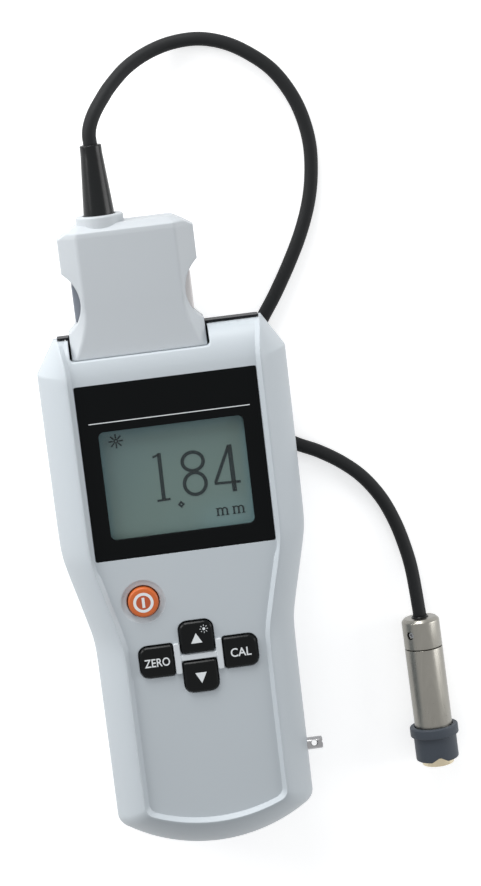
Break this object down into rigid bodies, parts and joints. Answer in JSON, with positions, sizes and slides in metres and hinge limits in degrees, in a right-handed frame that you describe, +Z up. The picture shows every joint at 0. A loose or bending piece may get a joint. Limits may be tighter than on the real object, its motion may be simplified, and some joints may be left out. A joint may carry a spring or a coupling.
{
  "type": "coating thickness gauge",
  "caption": "Handheld coating thickness gauge with display, keypad, sliding battery cover and a spring-tipped probe on a cord with a latched plug.",
  "frame": {"origin": "on the table, at the flat of the back, under the middle of the case", "axes": "+X to the right of the display, +Y along the case towards the probe plug, +Z up out of the display"},
  "size_m": [0.1119, 0.2373, 0.03],
  "materials": {
    "shell": "light grey moulded plastic, fine satin texture",
    "end_panel": "black moulded plastic",
    "label": "black printed overlay, semi-gloss",
    "lens": "clear window",
    "lcd": "teal grey display glass",
    "sheet_steel": "folded steel frame",
    "key": "black moulded keys with white legends",
    "power": "orange moulded key",
    "mat": "black silicone rubber",
    "board": "green circuit board",
    "screw": "bright steel",
    "cell": "plain printed jacket over a metal can",
    "spring": "bright spring wire",
    "contact": "nickel plated strip",
    "connector": "black connector body",
    "boot": "glossy black rubber",
    "cord": "matte black jacket",
    "tube": "satin nickel, turned",
    "sleeve": "dark grey rubber",
    "bush": "machined brass",
    "tip": "pale polished brass, turned",
    "pole": "polished pole face",
    "post": "bright plated pin"
  },
  "bodies": {
    "case": {"front_shell": "shell", "rear_shell": "shell", "top_end_panel": "end_panel", "display_label": "label", "display_lens": "lens", "lcd_panel": "lcd", "lcd_frame": "sheet_steel", "keypad_mat": "mat", "circuit_board": "board", "board_screw_1": "screw", "board_screw_2": "screw", "board_screw_3": "screw", "board_screw_4": "screw", "case_screw_1": "screw", "case_screw_2": "screw", "case_screw_3": "screw", "case_screw_4": "screw", "battery_left": "cell", "battery_right": "cell", "battery_spring_left": "spring", "battery_spring_right": "spring", "battery_contact": "contact", "socket_connector": "connector", "strap_post": "post"},
    "up_key": {"up_key": "key"},
    "down_key": {"down_key": "key"},
    "zero_key": {"zero_key": "key"},
    "cal_key": {"cal_key": "key"},
    "power_key": {"power_key": "power"},
    "battery_cover": {"battery_cover": "shell"},
    "probe_plug": {"plug_front_shell": "shell", "plug_back_shell": "shell", "plug_contact_block": "connector", "strain_relief": "boot", "probe_cord": "cord", "probe_tail_cap": "tube", "probe_set_screw": "screw", "probe_tube": "tube", "probe_sleeve": "sleeve", "probe_bush": "bush", "probe_spring": "spring"},
    "release_tab_left": {"release_tab_left": "shell"},
    "release_tab_right": {"release_tab_right": "shell"},
    "probe_plunger": {"probe_plunger": "tip", "probe_pole": "pole"}
  },
  "joints": [
    {"name": "up_key_press", "type": "slide", "parent": "case", "child": "up_key", "axis": [0, 0, -1], "range_m": [0, 0.0005], "stiffness_N_per_m": 1200},
    {"name": "down_key_press", "type": "slide", "parent": "case", "child": "down_key", "axis": [0, 0, -1], "range_m": [0, 0.0005], "stiffness_N_per_m": 1200},
    {"name": "zero_key_press", "type": "slide", "parent": "case", "child": "zero_key", "axis": [0, 0, -1], "range_m": [0, 0.0005], "stiffness_N_per_m": 1200},
    {"name": "cal_key_press", "type": "slide", "parent": "case", "child": "cal_key", "axis": [0, 0, -1], "range_m": [0, 0.0005], "stiffness_N_per_m": 1200},
    {"name": "power_key_press", "type": "slide", "parent": "case", "child": "power_key", "axis": [0, 0, -1], "range_m": [0, 0.0005], "stiffness_N_per_m": 1200},
    {"name": "battery_cover_slide", "type": "slide", "parent": "case", "child": "battery_cover", "axis": [0, -1, 0], "range_m": [0, 0.067]},
    {"name": "probe_plug_pull", "type": "slide", "parent": "case", "child": "probe_plug", "axis": [0, 1, 0], "range_m": [0, 0.02]},
    {"name": "release_tab_left_press", "type": "slide", "parent": "probe_plug", "child": "release_tab_left", "axis": [1, 0, 0], "range_m": [0, 0.0008], "stiffness_N_per_m": 2500},
    {"name": "release_tab_right_press", "type": "slide", "parent": "probe_plug", "child": "release_tab_right", "axis": [-1, 0, 0], "range_m": [0, 0.0008], "stiffness_N_per_m": 2500},
    {"name": "probe_tip_press", "type": "slide", "parent": "probe_plug", "child": "probe_plunger", "axis": [-0.0174, 0.9986, -0.049], "range_m": [0, 0.0012], "stiffness_N_per_m": 900, "deforming": ["probe_spring"]}
  ]
}
